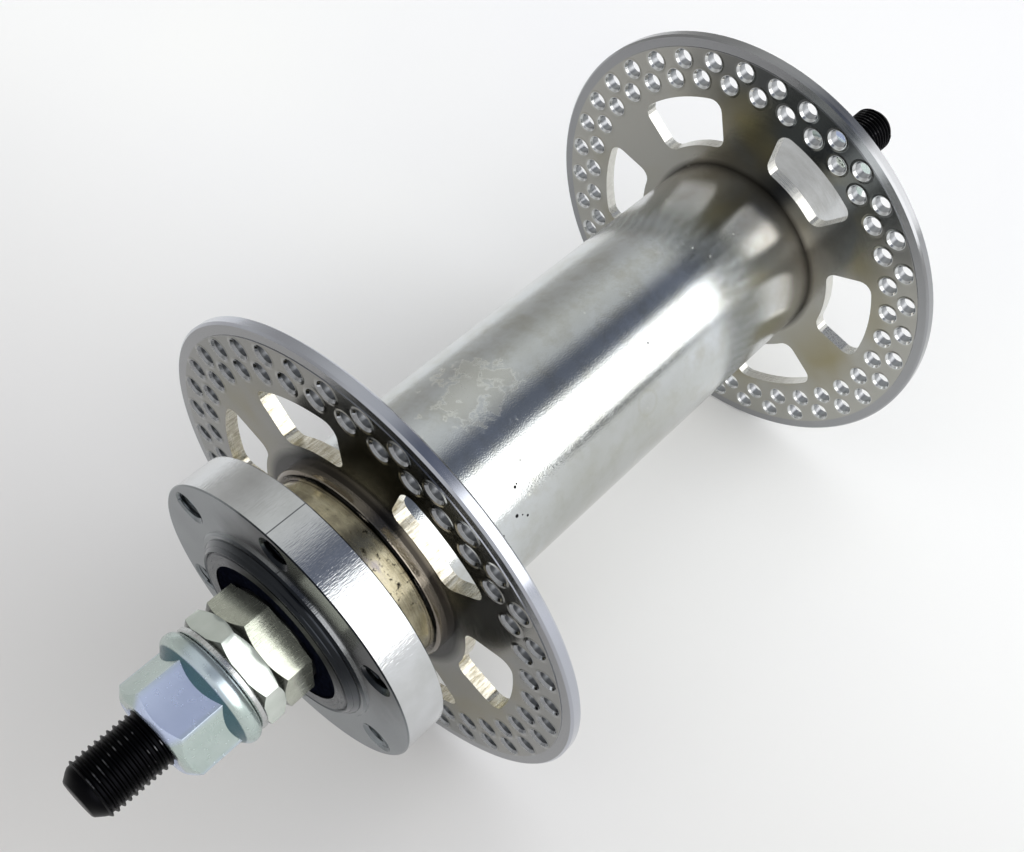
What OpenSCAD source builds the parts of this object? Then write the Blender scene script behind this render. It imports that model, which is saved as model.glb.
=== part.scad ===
// Bicycle front hub for 144 spokes and a six-bolt brake disc, in millimetres.
// The hub turns about the Y axis and +Y points to the disc side, the rider's left.
// The origin is on the axis, halfway between the two spoke flanges. +Z is up.

/* [Axle] */
// Outside diameter of the axle's thread
axle_d = 9.5; // [9:0.1:9.8]
// Length of the axle from tip to tip
axle_l = 200; // [192:1:230]
// Diameter of the plain shank between the threads
shank_d = 8.8; // [8:0.1:9.2]
// Length of thread at each end, the tip's cone included
thread_l = 50; // [42:1:60]
// Distance from one thread to the next, 26 to the inch
thread_pitch = 0.977; // [0.9:0.001:1.25]
// Depth of the thread
thread_depth = 0.42; // [0.3:0.01:0.5]
// Turns of thread between the tip's cone and a slightly wider groove, outside the nut
free_turns = 10; // [2:1:20]
// Extra width of that groove
runout_w = 0.15; // [0.1:0.05:0.3]
// Length of the cone on each tip
tip_l = 1.6; // [0.8:0.1:3]
// Diameter of each tip's end face
tip_d = 6.4; // [5:0.1:8]

/* [Barrel] */
// Outside diameter of the barrel tube
barrel_d = 36; // [34.5:0.5:37]
// Wall of the barrel tube
barrel_wall = 1.5; // [1:0.1:2.5]
// How far the tube stands out of each flange
barrel_proud = 2; // [1:0.1:4]
// Bevel on the tube's end
barrel_bevel = 0.5; // [0.1:0.1:0.8]

/* [Flanges] */
// Outside diameter of a spoke flange
flange_d = 85; // [84.5:0.5:110]
// Thickness of a spoke flange
flange_t = 2.3; // [1.6:0.1:4]
// Distance between the flanges' inner faces
flange_gap = 93.2; // [80:0.2:110]
// Bevel on the flange's rim
rim_bevel = 0.35; // [0.1:0.05:0.7]
// Width of the turned band along the rim
rim_band_w = 2; // [1:0.1:2.2]
// Depth of the turned band along the rim
rim_band_depth = 0.1; // [0.05:0.05:0.3]
// Turn of the left flange's windows, from +X towards +Z
left_window_turn = 14.5; // [0:0.1:60]
// Turn of the right flange's windows, from +X towards +Z
right_window_turn = 3.1; // [0:0.1:60]
// Turn of the left flange's inner ring of holes, from +X towards +Z
left_hole_turn = 7.3; // [0:0.1:10]
// Turn of the right flange's inner ring of holes, from +X towards +Z
right_hole_turn = 4.5; // [0:0.1:10]

/* [Spoke holes] */
// Holes in each of the two rings of a flange
spoke_holes = 36; // [18:2:36]
// Distance from the rim to the centres of the outer ring of holes
rim_to_holes = 4.2; // [4:0.1:5]
// Distance from the outer ring of holes in to the inner ring
ring_step = 3.6; // [3.2:0.1:3.8]
// Diameter of a spoke hole
spoke_hole_d = 2.8; // [2:0.1:3]
// Diameter of the countersink at each end of a spoke hole
spoke_sink_d = 3.6; // [3.1:0.1:4]

/* [Flange windows] */
// Windows in each flange
windows = 6; // [3:1:6]
// Solid flange between the barrel tube and a window
window_land = 3.7; // [2:0.1:6]
// Distance from a window out to the centres of the inner ring of holes
window_to_holes = 3.5; // [2.7:0.1:5.7]
// Half of the angle that a window covers
window_half_angle = 18; // [12:1:22]
// Radius of a window's corners
window_corner_r = 2.2; // [1:0.1:3]

/* [Disc mount] */
// Distance from the disc mount's bore out to its edge
disc_wall = 9.2; // [8.9:0.1:11.5]
// Thickness of the disc mount
disc_t = 7.1; // [5:0.1:9]
// Distance from the disc mount's bore out to the bolts' centres, which makes a 44 circle
bore_to_bolts = 5.5; // [5:0.1:5.8]
// Disc bolts
disc_bolts = 6; // [3:1:8]
// Diameter of a disc bolt's thread
disc_bolt_d = 5; // [4:0.1:5.5]
// Diameter of the countersink at each bolt hole
disc_sink_d = 5.8; // [5.6:0.1:6.2]
// Turn of the bolt holes, from +X towards +Z
disc_turn = 41.4; // [0:0.1:60]
// Wall of the boss that centres the brake disc
pilot_wall = 0.95; // [0.5:0.05:1.5]
// Height of the boss
pilot_h = 0.6; // [0.3:0.1:0.8]
// Bevel on the disc mount's edges
disc_bevel = 0.2; // [0.1:0.1:0.6]

/* [Bearings] */
// Wall of the sleeve round a bearing, which leaves a seat 30 across
sleeve_wall = 1.5; // [1.25:0.25:2]
// Width of a bearing
bearing_w = 9; // [8:0.5:12]
// Gap between the axle's thread and the inner race, all round
bearing_bore_gap = 0.25; // [0.1:0.05:0.4]
// Balls in a bearing
balls = 8; // [6:1:9]
// Diameter of a ball
ball_d = 4.76; // [4:0.01:4.9]
// Gap between a ball and the races
ball_gap = 0.02; // [0.01:0.01:0.05]
// Depth to which the balls sit in the races
groove_depth = 0.8; // [0.5:0.1:1]
// Radial thickness of the ball cage
cage_t = 1.2; // [0.8:0.1:1.4]
// Width of the ball cage along the axis
cage_w = 5.4; // [5.2:0.1:5.8]
// Gap between a ball and its pocket in the cage
pocket_gap = 0.1; // [0.05:0.05:0.2]
// Thickness of a seal
seal_t = 0.8; // [0.5:0.1:1]
// How far a seal lies below the bearing's face
seal_inset = 0.25; // [0.1:0.05:0.4]
// Gap between a seal's lip and the inner race
seal_lip_gap = 0.15; // [0.05:0.05:0.3]
// How far a seal reaches into the outer race
seal_seat = 1.05; // [0.6:0.05:1.2]
// Bevel on the races' corners
race_bevel = 0.3; // [0.1:0.1:0.5]

/* [Bearing sleeves] */
// Length of sleeve that is pressed into the barrel tube
sleeve_grip = 14; // [8:1:20]
// Bare length of sleeve between the barrel tube and the disc mount
neck_l = 6.5; // [4:0.5:15]
// How far the sleeve stands out of the disc mount
sleeve_proud = 1.9; // [1.7:0.1:3]
// Height of the ledge behind the bearing
ledge_h = 2; // [1:0.5:3]
// Bevel around the sleeve's end
sleeve_bevel = 1.1; // [0.4:0.1:1.2]

/* [Spacer] */
// Outside diameter of the spacer between the bearings
spacer_d = 14; // [12:0.5:15]

/* [Cone nuts] */
// Width across the flats of a cone nut
cone_af = 17; // [15:1:19]
// Length of a cone nut's hexagon
cone_l = 5.1; // [3:0.1:8]
// Diameter of the cone nut's shoulder on the inner race
cone_shoulder_d = 15.8; // [13:0.1:16.4]
// Height of the shoulder
cone_shoulder_h = 0.3; // [0.2:0.1:1]
// Turn of a cone nut's corner, from +X towards +Z
cone_turn = 42.1; // [0:0.1:60]

/* [Lock nuts] */
// Width across the flats of a lock nut
lock_af = 17; // [15:1:19]
// Thickness of a lock nut
lock_l = 3.7; // [2.5:0.1:6]
// Turn of a lock nut's corner, from +X towards +Z
lock_turn = 40.2; // [0:0.1:60]

/* [Washers] */
// Outside diameter of a washer
washer_d = 18.6; // [16:0.1:22]
// Thickness of a washer
washer_t = 1.1; // [0.8:0.1:2]
// Bevel on the washer's outer edges
washer_bevel = 0.25; // [0.1:0.05:0.35]

/* [Axle nuts] */
// Width across the flats of an axle nut
nut_af = 15; // [14:0.5:17]
// Height of an axle nut with its flange
nut_l = 11.4; // [9:0.1:14]
// Diameter of an axle nut's flange
nut_flange_d = 19.8; // [19.5:0.1:24]
// Thickness of an axle nut's flange
nut_flange_t = 3; // [2:0.1:4]
// Diameter of the flat end face of an axle nut, inside its dome
nut_face_d = 11; // [10.8:0.1:13]
// Turn of an axle nut's corner, from +X towards +Z
nut_turn = 22.2; // [0:0.1:60]

/* [Nuts] */
// Gap between the axle's thread and the bore of an axle nut or washer, all round
thread_play = 0.04; // [0.02:0.01:0.08]
// Depth of the bevel at the nuts' corners, along the axis
hex_bevel = 1.1; // [0.3:0.1:1.4]
// Bevel at the mouth of the nuts' bores
mouth_bevel = 0.5; // [0.2:0.1:0.6]
// How far inside a nut's flats the bevel at its corners starts
bevel_inset = 0.3; // [0.1:0.1:0.6]

/* [Hidden] */
$fn = 96;
// how far a cutting shape runs past what it cuts
over = 1;
// keeps a bevel's turned surface clear of the corners between the bevels
skip = 0.01;
// straight steps to a window's corner and to its long edges
corner_steps = 5;
edge_steps = 10;

// places along the axis, from the hub's middle outwards
flange_in = flange_gap / 2;
flange_out = flange_in + flange_t;
barrel_end = flange_out + barrel_proud;
disc_back = barrel_end + neck_l;
disc_face = disc_back + disc_t;
bearing_face = disc_face + sleeve_proud;
bearing_back = bearing_face - bearing_w;
bearing_mid = (bearing_face + bearing_back) / 2;
cone_hex = bearing_face + cone_shoulder_h;
cone_end = cone_hex + cone_l;
lock_end = cone_end + lock_l;
washer_end = lock_end + washer_t;
nut_end = washer_end + nut_l;
axle_end = axle_l / 2;
thread_end = axle_end - tip_l;
thread_start = axle_end - thread_l;

// radii from the axis outwards
axle_r = axle_d / 2;
root_r = axle_r - thread_depth;
bore_r = axle_r + thread_play;
race_bore_r = axle_r + bearing_bore_gap;
barrel_r = barrel_d / 2;
barrel_bore_r = barrel_r - barrel_wall;
bearing_r = barrel_bore_r - sleeve_wall;
ball_r = ball_d / 2;
ball_circle_r = (race_bore_r + bearing_r) / 2;
inner_race_r = ball_circle_r - ball_r + groove_depth;
outer_race_r = ball_circle_r + ball_r - groove_depth;
seal_out_r = outer_race_r + seal_seat;
seal_in_r = inner_race_r + seal_lip_gap;
disc_r = barrel_bore_r + disc_wall;
disc_bolt_r = barrel_bore_r + bore_to_bolts;
pilot_r = barrel_bore_r + pilot_wall;
outer_ring_r = flange_d / 2 - rim_to_holes;
inner_ring_r = outer_ring_r - ring_step;
window_in_r = barrel_r + window_land;
window_out_r = inner_ring_r - window_to_holes;
// a window's corners take at most a third of its depth
bend_r = min(window_corner_r, (window_out_r - window_in_r) / 3);

// a turned shape drawn up +Z is laid along +Y, on the left side or mirrored to the right
module left_side() {
    rotate([-90, 0, 0]) children();
}

module right_side() {
    mirror([0, 1, 0]) left_side() children();
}

// turns a shape about its own Z so that it ends up turned by a from +X towards +Z
module turned(a) {
    rotate(-a) children();
}

// a ring or tube between two heights, with bevels on its outer edges
module tube(r_out, r_in, from, to, bevel_from = 0, bevel_to = 0) {
    rotate_extrude()
        polygon([
            [r_in, from],
            [r_out - bevel_from, from],
            [r_out, from + bevel_from],
            [r_out, to - bevel_to],
            [r_out - bevel_to, to],
            [r_in, to]
        ]);
}

// a cylinder that widens to a cone at one or both ends, for cutting bevelled holes
module sunk_hole(r, from, to, sink_from, sink_to) {
    rotate_extrude()
        polygon([
            [0, from - over],
            [r + sink_from + over, from - over],
            [r, from + sink_from],
            [r, to - sink_to],
            [r + sink_to + over, to + over],
            [0, to + over]
        ]);
}

// a hexagon whose corners are bevelled at one or both ends
module bevelled_hex(across, from, to, bevel_from, bevel_to) {
    flat_r = across / 2;
    corner_r = flat_r / cos(30);
    // the bevels start on the end faces a little inside the flats
    face_r = flat_r - bevel_inset;
    intersection() {
        translate([0, 0, from])
            cylinder(r = corner_r, h = to - from, $fn = 6);
        rotate_extrude()
            polygon([
                [0, from],
                [bevel_from > 0 ? face_r : corner_r, from],
                [corner_r + skip, from + bevel_from],
                [corner_r + skip, to - bevel_to],
                [bevel_to > 0 ? face_r : corner_r, to],
                [0, to]
            ]);
    }
}
// the thread is drawn as V-shaped rings, one to a pitch
half_v = thread_depth * tan(30);
function thread_points(from, to) =
    let (turns = floor((to - from) / thread_pitch))
    [
        for (i = [0 : 1 : turns - 1])
            let (mid = from + (i + 0.5) * thread_pitch)
            each [[axle_r, mid - half_v], [root_r, mid], [axle_r, mid + half_v]]
    ];

module axle_half() {
    shank_r = shank_d / 2;
    runout_end = thread_end - free_turns * thread_pitch;
    runout_start = runout_end - 2 * half_v - runout_w;
    rotate_extrude()
        polygon(concat(
            [[0, 0], [shank_r, 0], [shank_r, thread_start], [axle_r, thread_start]],
            thread_points(thread_start, runout_start),
            [
                [axle_r, runout_start],
                [root_r, runout_start + half_v],
                [root_r, runout_end - half_v],
                [axle_r, runout_end]
            ],
            thread_points(runout_end, thread_end),
            [[axle_r, thread_end], [tip_d / 2, axle_end], [0, axle_end]]
        ));
}

module axle() {
    color("#26262a") {
        left_side() axle_half();
        right_side() axle_half();
    }
}

module bearing_spacer() {
    color("#8f9296")
        left_side() tube(spacer_d / 2, race_bore_r, -bearing_back, bearing_back);
}

module barrel_tube() {
    color("#c9ccd2")
        left_side()
            tube(barrel_r, barrel_bore_r, -barrel_end, barrel_end, barrel_bevel, barrel_bevel);
}

// points round an arc about a centre given by its radius and angle
function arc_points(centre_r, centre_a, r, from_a, to_a, first, last, steps) =
    [
        for (i = [first : last])
            let (a = from_a + (to_a - from_a) * i / steps)
            [centre_r * cos(centre_a) + r * cos(a), centre_r * sin(centre_a) + r * sin(a)]
    ];

function corner_points(centre_r, centre_a, from_a, to_a) =
    arc_points(centre_r, centre_a, bend_r, from_a, to_a, 0, corner_steps, corner_steps);

function edge_points(r, from_a, to_a) =
    arc_points(0, 0, r, from_a, to_a, 1, edge_steps - 1, edge_steps);

// one window of a flange, with straight radial sides and rounded corners
module window(from, to) {
    half = window_half_angle;
    in_r = window_in_r + bend_r;
    out_r = window_out_r - bend_r;
    in_a = half - asin(bend_r / in_r);
    out_a = half - asin(bend_r / out_r);
    translate([0, 0, from])
        linear_extrude(to - from)
            polygon(concat(
                edge_points(window_out_r, -out_a, out_a),
                corner_points(out_r, out_a, out_a, 90 + half),
                corner_points(in_r, in_a, 90 + half, 180 + in_a),
                edge_points(window_in_r, in_a, -in_a),
                corner_points(in_r, -in_a, 180 - in_a, 270 - half),
                corner_points(out_r, -out_a, 270 - half, 360 - out_a)
            ));
}

module ring_of_holes(circle_r, turn) {
    sink = (spoke_sink_d - spoke_hole_d) / 2;
    for (i = [0 : spoke_holes - 1])
        turned(turn + i * 360 / spoke_holes)
            translate([circle_r, 0, 0])
                sunk_hole(spoke_hole_d / 2, flange_in, flange_out, sink, sink);
}

module flange(window_turn, hole_turn) {
    rim_r = flange_d / 2;
    band_r = rim_r - rim_band_w;
    color("#b9b8b2")
        difference() {
            rotate_extrude()
                polygon([
                    [barrel_r, flange_in],
                    [band_r, flange_in],
                    [band_r, flange_in + rim_band_depth],
                    [rim_r - rim_bevel, flange_in + rim_band_depth],
                    [rim_r, flange_in + rim_band_depth + rim_bevel],
                    [rim_r, flange_out - rim_band_depth - rim_bevel],
                    [rim_r - rim_bevel, flange_out - rim_band_depth],
                    [band_r, flange_out - rim_band_depth],
                    [band_r, flange_out],
                    [barrel_r, flange_out]
                ]);
            for (i = [0 : windows - 1])
                turned(window_turn + i * 360 / windows)
                    window(flange_in - over, flange_out + over);
            ring_of_holes(inner_ring_r, hole_turn);
            ring_of_holes(outer_ring_r, hole_turn + 180 / spoke_holes);
        }
}

// the sleeve runs from inside the barrel tube to the bearing's outer face
module bearing_sleeve() {
    ledge_r = bearing_r - ledge_h;
    mouth = race_bevel;
    color("#c4bfae")
        rotate_extrude()
            polygon([
                [ledge_r, barrel_end - sleeve_grip],
                [barrel_bore_r, barrel_end - sleeve_grip],
                [barrel_bore_r, bearing_face - sleeve_bevel],
                [bearing_r + mouth, bearing_face],
                [bearing_r, bearing_face - mouth],
                [bearing_r, bearing_back],
                [ledge_r, bearing_back]
            ]);
}

module disc_mount() {
    pilot_bevel = pilot_h / 2;
    color("#b4b7b9")
        left_side()
            difference() {
                union() {
                    tube(disc_r, barrel_bore_r, disc_back, disc_face, disc_bevel, disc_bevel);
                    tube(pilot_r, barrel_bore_r, disc_back, disc_face + pilot_h, 0, pilot_bevel);
                }
                for (i = [0 : disc_bolts - 1])
                    turned(disc_turn + i * 360 / disc_bolts)
                        translate([disc_bolt_r, 0, 0])
                            sunk_hole(disc_bolt_d / 2, disc_back, disc_face,
                                0, (disc_sink_d - disc_bolt_d) / 2);
            }
}

// the ring-shaped groove that the balls run in
module ball_groove() {
    translate([0, 0, bearing_mid])
        rotate_extrude()
            translate([ball_circle_r, 0])
                circle(r = ball_r + ball_gap);
}

module outer_race() {
    recess = seal_inset + seal_t;
    color("#9aa0a6")
        difference() {
            tube(bearing_r, outer_race_r, bearing_back, bearing_face, race_bevel, race_bevel);
            translate([0, 0, bearing_face - recess])
                cylinder(r = seal_out_r, h = recess + over);
            translate([0, 0, bearing_back - over])
                cylinder(r = seal_out_r, h = recess + over);
            ball_groove();
        }
}

module inner_race() {
    color("#9aa0a6")
        difference() {
            tube(inner_race_r, race_bore_r, bearing_back, bearing_face);
            sunk_hole(race_bore_r, bearing_back, bearing_face, race_bevel, race_bevel);
            ball_groove();
        }
}

module ball_row() {
    color("#d8dade")
        for (i = [0 : balls - 1])
            rotate(i * 360 / balls)
                translate([ball_circle_r, 0, bearing_mid])
                    sphere(r = ball_r);
}

module ball_cage() {
    color("#a9adb2")
        difference() {
            tube(ball_circle_r + cage_t / 2, ball_circle_r - cage_t / 2,
                bearing_mid - cage_w / 2, bearing_mid + cage_w / 2);
            for (i = [0 : balls - 1])
                rotate(i * 360 / balls)
                    translate([ball_circle_r - ball_r, 0, bearing_mid])
                        rotate([0, 90, 0])
                            cylinder(r = ball_r + pocket_gap, h = ball_d);
        }
}

module outer_seal() {
    color("#15171c")
        tube(seal_out_r, seal_in_r, bearing_face - seal_inset - seal_t, bearing_face - seal_inset);
}

module inner_seal() {
    color("#15171c")
        tube(seal_out_r, seal_in_r, bearing_back + seal_inset, bearing_back + seal_inset + seal_t);
}

// the cone nuts and lock nuts stay where they are, so they sit on the thread with no gap
module cone_nut() {
    color("#c3c1b4")
        turned(cone_turn)
            difference() {
                union() {
                    tube(cone_shoulder_d / 2, axle_r, bearing_face, cone_hex);
                    bevelled_hex(cone_af, cone_hex, cone_end, 0, hex_bevel);
                }
                sunk_hole(axle_r, bearing_face, cone_end, 0, mouth_bevel);
            }
}

module lock_nut() {
    color("#c3c1b4")
        turned(lock_turn)
            difference() {
                bevelled_hex(lock_af, cone_end, lock_end, hex_bevel, hex_bevel);
                sunk_hole(axle_r, cone_end, lock_end, mouth_bevel, mouth_bevel);
            }
}

module washer() {
    color("#c0c3c6")
        tube(washer_d / 2, bore_r, lock_end, washer_end, washer_bevel, washer_bevel);
}

// a hexagon with a domed end, on a flange whose rim is half round
module axle_nut() {
    rim_r = nut_flange_t / 2;
    face_r = nut_face_d / 2;
    dome_r = sqrt(face_r * face_r + nut_l * nut_l);
    color("#bcc4cc")
        turned(nut_turn)
            difference() {
                union() {
                    intersection() {
                        translate([0, 0, washer_end + rim_r])
                            cylinder(r = nut_af / 2 / cos(30), h = nut_l - rim_r, $fn = 6);
                        translate([0, 0, washer_end])
                            sphere(r = dome_r);
                    }
                    rotate_extrude() {
                        translate([0, washer_end])
                            square([nut_flange_d / 2 - rim_r, nut_flange_t]);
                        translate([nut_flange_d / 2 - rim_r, washer_end + rim_r])
                            circle(r = rim_r);
                    }
                }
                sunk_hole(bore_r, washer_end, nut_end, mouth_bevel, mouth_bevel);
            }
}

axle();
bearing_spacer();
barrel_tube();
left_side() flange(left_window_turn, left_hole_turn);  // left_flange
right_side() flange(right_window_turn, right_hole_turn);  // right_flange
left_side() bearing_sleeve();  // left_bearing_sleeve
right_side() bearing_sleeve();  // right_bearing_sleeve
disc_mount();
left_side() outer_race();  // left_outer_race
left_side() inner_race();  // left_inner_race
left_side() ball_row();  // left_balls
left_side() ball_cage();  // left_cage
left_side() outer_seal();  // left_outer_seal
left_side() inner_seal();  // left_inner_seal
right_side() outer_race();  // right_outer_race
right_side() inner_race();  // right_inner_race
right_side() ball_row();  // right_balls
right_side() ball_cage();  // right_cage
right_side() outer_seal();  // right_outer_seal
right_side() inner_seal();  // right_inner_seal
left_side() cone_nut();  // left_cone_nut
right_side() cone_nut();  // right_cone_nut
left_side() lock_nut();  // left_lock_nut
right_side() lock_nut();  // right_lock_nut
left_side() washer();  // left_washer
right_side() washer();  // right_washer
left_side() axle_nut();  // left_axle_nut
right_side() axle_nut();  // right_axle_nut
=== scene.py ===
import math
from types import SimpleNamespace

import bmesh
import bpy
from mathutils import Matrix, Vector


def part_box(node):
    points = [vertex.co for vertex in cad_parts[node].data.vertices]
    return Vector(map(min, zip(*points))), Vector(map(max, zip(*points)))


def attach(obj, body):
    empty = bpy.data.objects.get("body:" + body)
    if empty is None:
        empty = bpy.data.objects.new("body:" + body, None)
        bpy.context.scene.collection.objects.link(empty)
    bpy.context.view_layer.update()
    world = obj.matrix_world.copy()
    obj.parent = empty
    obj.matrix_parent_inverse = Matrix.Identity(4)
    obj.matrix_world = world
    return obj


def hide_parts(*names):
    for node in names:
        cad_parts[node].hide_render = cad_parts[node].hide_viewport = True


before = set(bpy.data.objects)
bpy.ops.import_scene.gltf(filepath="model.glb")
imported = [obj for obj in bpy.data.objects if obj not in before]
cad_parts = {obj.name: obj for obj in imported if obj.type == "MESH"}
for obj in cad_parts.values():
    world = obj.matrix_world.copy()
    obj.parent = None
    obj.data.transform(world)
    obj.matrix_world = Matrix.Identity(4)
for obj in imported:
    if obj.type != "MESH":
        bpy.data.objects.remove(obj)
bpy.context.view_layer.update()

# The hub lies along Y with its disc side at +Y. Sizes below are in millimetres.
MM = 0.001

# Sockets that share their names, by number: a map range's value, the two ends of its reach and
# what they become, and the share of a mix with its two tones
IN, LOW, HIGH, AT_LOW, AT_HIGH = range(5)
SHARE, UNDER, OVER = 0, 6, 7
MIXED_TONE = 2

# A noise's values nearly all lie between these
NOISE_LOW, NOISE_HIGH = 0.3, 0.7

# Outer radii that the shapes and the spots on them share
TUBE_R, FLANGE_R, MOUNT_R = 18.0, 42.5, 25.7

# The thread of the axle, and the nuts on it
CREST_R, ROOT_R, THREAD_PITCH = 4.75, 4.30, 0.977
LOOSE_R = 4.79       # bore of what moves along the thread
MOUTH = 0.5          # bevel at a nut's mouth
HEX_ACROSS, HEX_CORNER_R, HEX_FACE_R = 17.0, 9.83, 8.6
CONE_NUT_TURN, LOCK_NUT_TURN, AXLE_NUT_TURN = 42.1, 40.2, 22.2

# The spoke holes of a flange: two rings, half a step apart
HOLE_R, HOLE_SINK_R, HOLE_STEP = 1.4, 1.8, 10.0
INNER_RING_R, OUTER_RING_R = 34.7, 38.3
LEFT_HOLE_TURN, RIGHT_HOLE_TURN = 7.3, 4.5

# The bolt holes of the disc mount
BOLT_RING_R, BOLT_TURN, BOLTS, BOLT_PITCH = 22.0, 41.4, 6, 0.8

# Camera, floor and light


def place_camera():
    """the photograph's viewpoint: from above the disc side, close to the hub"""
    lens = bpy.data.cameras.new("photo_camera")
    lens.sensor_width = 36.0
    lens.lens = 42.953
    lens.shift_x = -0.0978
    lens.shift_y = 0.0205
    lens.clip_start = 0.01
    lens.dof.use_dof = False
    camera = bpy.data.objects.new("photo_camera", lens)
    camera.location = (-0.09980, 0.10895, 0.15337)
    looking = Vector((0.41883, -0.50303, -0.75601))
    camera.rotation_euler = looking.to_track_quat("-Z", "Y").to_euler()
    bpy.context.scene.collection.objects.link(camera)
    bpy.context.scene.camera = camera


def linear(hex_colour):
    """an sRGB colour such as '#c4c9cd' as the linear colour that nodes take"""
    parts = [int(hex_colour[i:i + 2], 16) / 255 for i in (1, 3, 5)]
    return [p / 12.92 if p <= 0.04045 else ((p + 0.055) / 1.055) ** 2.4 for p in parts] + [1.0]


def result(node):
    """what a node gives: the tone of a mix, or else its first output"""
    return node.outputs[MIXED_TONE if node.bl_idname == "ShaderNodeMix" else 0]


def add(tree, kind, sockets=None, stops=None, **settings):
    """adds one node with its settings, its ramp's stops, and its values or links by socket"""
    node = tree.nodes.new("ShaderNode" + kind)
    for name, value in settings.items():
        setattr(node, name, value)
    for name, value in (sockets or {}).items():
        if isinstance(value, bpy.types.Node):
            value = result(value)
        if isinstance(value, bpy.types.NodeSocket):
            tree.links.new(value, node.inputs[name])
        elif isinstance(value, str):
            node.inputs[name].default_value = linear(value)
        else:
            node.inputs[name].default_value = value
    if stops:
        ramp = node.color_ramp
        for element, (place, colour) in zip(ramp.elements, (stops[0], stops[-1])):
            element.position, element.color = place, linear(colour)
        for place, colour in stops[1:-1]:
            ramp.elements.new(place).color = linear(colour)
    return node


def light_studio():
    """a pale room with one wide soft window on the camera's side, as turned metal shows it"""
    world = bpy.data.worlds.new("studio")
    bpy.context.scene.world = world
    world.use_nodes = True
    tree = world.node_tree
    tree.nodes.clear()
    x, y, z = add(tree, "SeparateXYZ", {0: add(tree, "TexCoord").outputs["Generated"]}).outputs
    # the turn about the hub's axis, from +X over the top to -X, as 0 to 1
    turn = add(tree, "Math", {0: z, 1: x}, operation="ARCTAN2")
    share = add(tree, "Math", {0: turn, 1: 1 / math.pi}, operation="MULTIPLY")
    room = add(tree, "ValToRGB", {0: share}, stops=[
        (0.00, "#d4d4d2"), (0.05, "#c4c4c2"), (0.14, "#b2b1af"), (0.22, "#b9b9b7"),
        (0.36, "#dcdddb"), (0.48, "#d0d2d3"), (0.54, "#90939b"), (0.58, "#6d7382"),
        (0.665, "#7b8190"), (0.705, "#d8dadc"), (0.73, "#ffffff"), (1.00, "#ffffff")])
    # the window is brighter than white, and a low grey sill closes it behind the hub
    above = add(tree, "MapRange", {IN: share, LOW: 0.69, HIGH: 0.74, AT_LOW: 1.0, AT_HIGH: 2.8})
    low = add(tree, "MapRange", {IN: share, LOW: 0.955, HIGH: 0.968})
    behind = add(tree, "Math", {
        0: add(tree, "MapRange", {IN: y, LOW: -0.30, HIGH: -0.42}),
        1: add(tree, "MapRange", {IN: y, LOW: -0.74, HIGH: -0.62})}, operation="MULTIPLY")
    sill = add(tree, "Math", {0: low, 1: behind}, operation="MULTIPLY")
    room = add(tree, "Mix", {SHARE: sill, UNDER: room, OVER: "#808387"}, data_type="RGBA")
    shaded = add(tree, "MapRange", {IN: sill, AT_LOW: 1.0, AT_HIGH: 0.36})
    above = add(tree, "Math", {0: above, 1: shaded}, operation="MULTIPLY")
    # towards both ends of the hub the room is plain and pale
    side = add(tree, "Math", {0: y}, operation="ABSOLUTE")
    ends = add(tree, "MapRange", {IN: side, LOW: 0.70, HIGH: 0.86},
               interpolation_type="SMOOTHSTEP")
    room = add(tree, "Mix", {SHARE: ends, UNDER: room, OVER: "#dfdfde"}, data_type="RGBA")
    strength = add(tree, "MapRange", {IN: ends, AT_LOW: above, AT_HIGH: 1.0})
    glow = add(tree, "Background", {"Color": room, "Strength": strength})
    add(tree, "OutputWorld", {"Surface": glow})

    lamp = bpy.data.lights.new("overhead_softbox", "AREA")
    lamp.shape = "DISK"
    lamp.size = 0.9
    lamp.energy = 1.7
    softbox = bpy.data.objects.new("overhead_softbox", lamp)
    softbox.location = (-0.30, -0.35, 0.85)
    softbox.rotation_euler = (-softbox.location).to_track_quat("-Z", "Y").to_euler()
    # metal shows the room alone
    softbox.visible_glossy = False
    bpy.context.scene.collection.objects.link(softbox)


# Materials


def start_material(name, **shader):
    """a new material: its tree and its shader"""
    material = bpy.data.materials.new(name)
    material.use_nodes = True
    tree = material.node_tree
    tree.nodes.clear()
    surface = add(tree, "BsdfPrincipled", shader)
    add(tree, "OutputMaterial", {"Surface": surface})
    return material, tree, surface


def set_finish(surface, tone, roughness, relief):
    """links a material's tone, roughness and relief to its shader"""
    for name, node in (("Base Color", tone), ("Roughness", roughness), ("Normal", relief)):
        surface.id_data.links.new(result(node), surface.inputs[name])


def find_places(tree):
    """the point in mm, its distance r from the axis, its turn about it (seam below), and y"""
    here = add(tree, "TexCoord").outputs["Object"]
    point = add(tree, "VectorMath", {0: here, "Scale": 1 / MM}, operation="SCALE")
    x, y, z = add(tree, "SeparateXYZ", {0: point}).outputs
    across = add(tree, "CombineXYZ", {0: x, 2: z})
    r = add(tree, "VectorMath", {0: across}, operation="LENGTH").outputs["Value"]
    turn = add(tree, "Math", {0: x, 1: z}, operation="ARCTAN2").outputs[0]
    return SimpleNamespace(point=point.outputs[0], r=r, turn=turn, y=y)


def facing_along(tree):
    """0 on a wall round the axis, 1 on a face that looks along it"""
    normal = add(tree, "SeparateXYZ", {0: add(tree, "TexCoord").outputs["Normal"]})
    return add(tree, "Math", {0: normal.outputs[1]}, operation="ABSOLUTE")


def stretched(tree, at, across, along):
    """the point, counted in patches that are across mm wide and along mm long on the axis"""
    counts = (1 / across, 1 / along, 1 / across)
    return add(tree, "VectorMath", {0: at.point, 1: counts}, operation="MULTIPLY")


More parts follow.
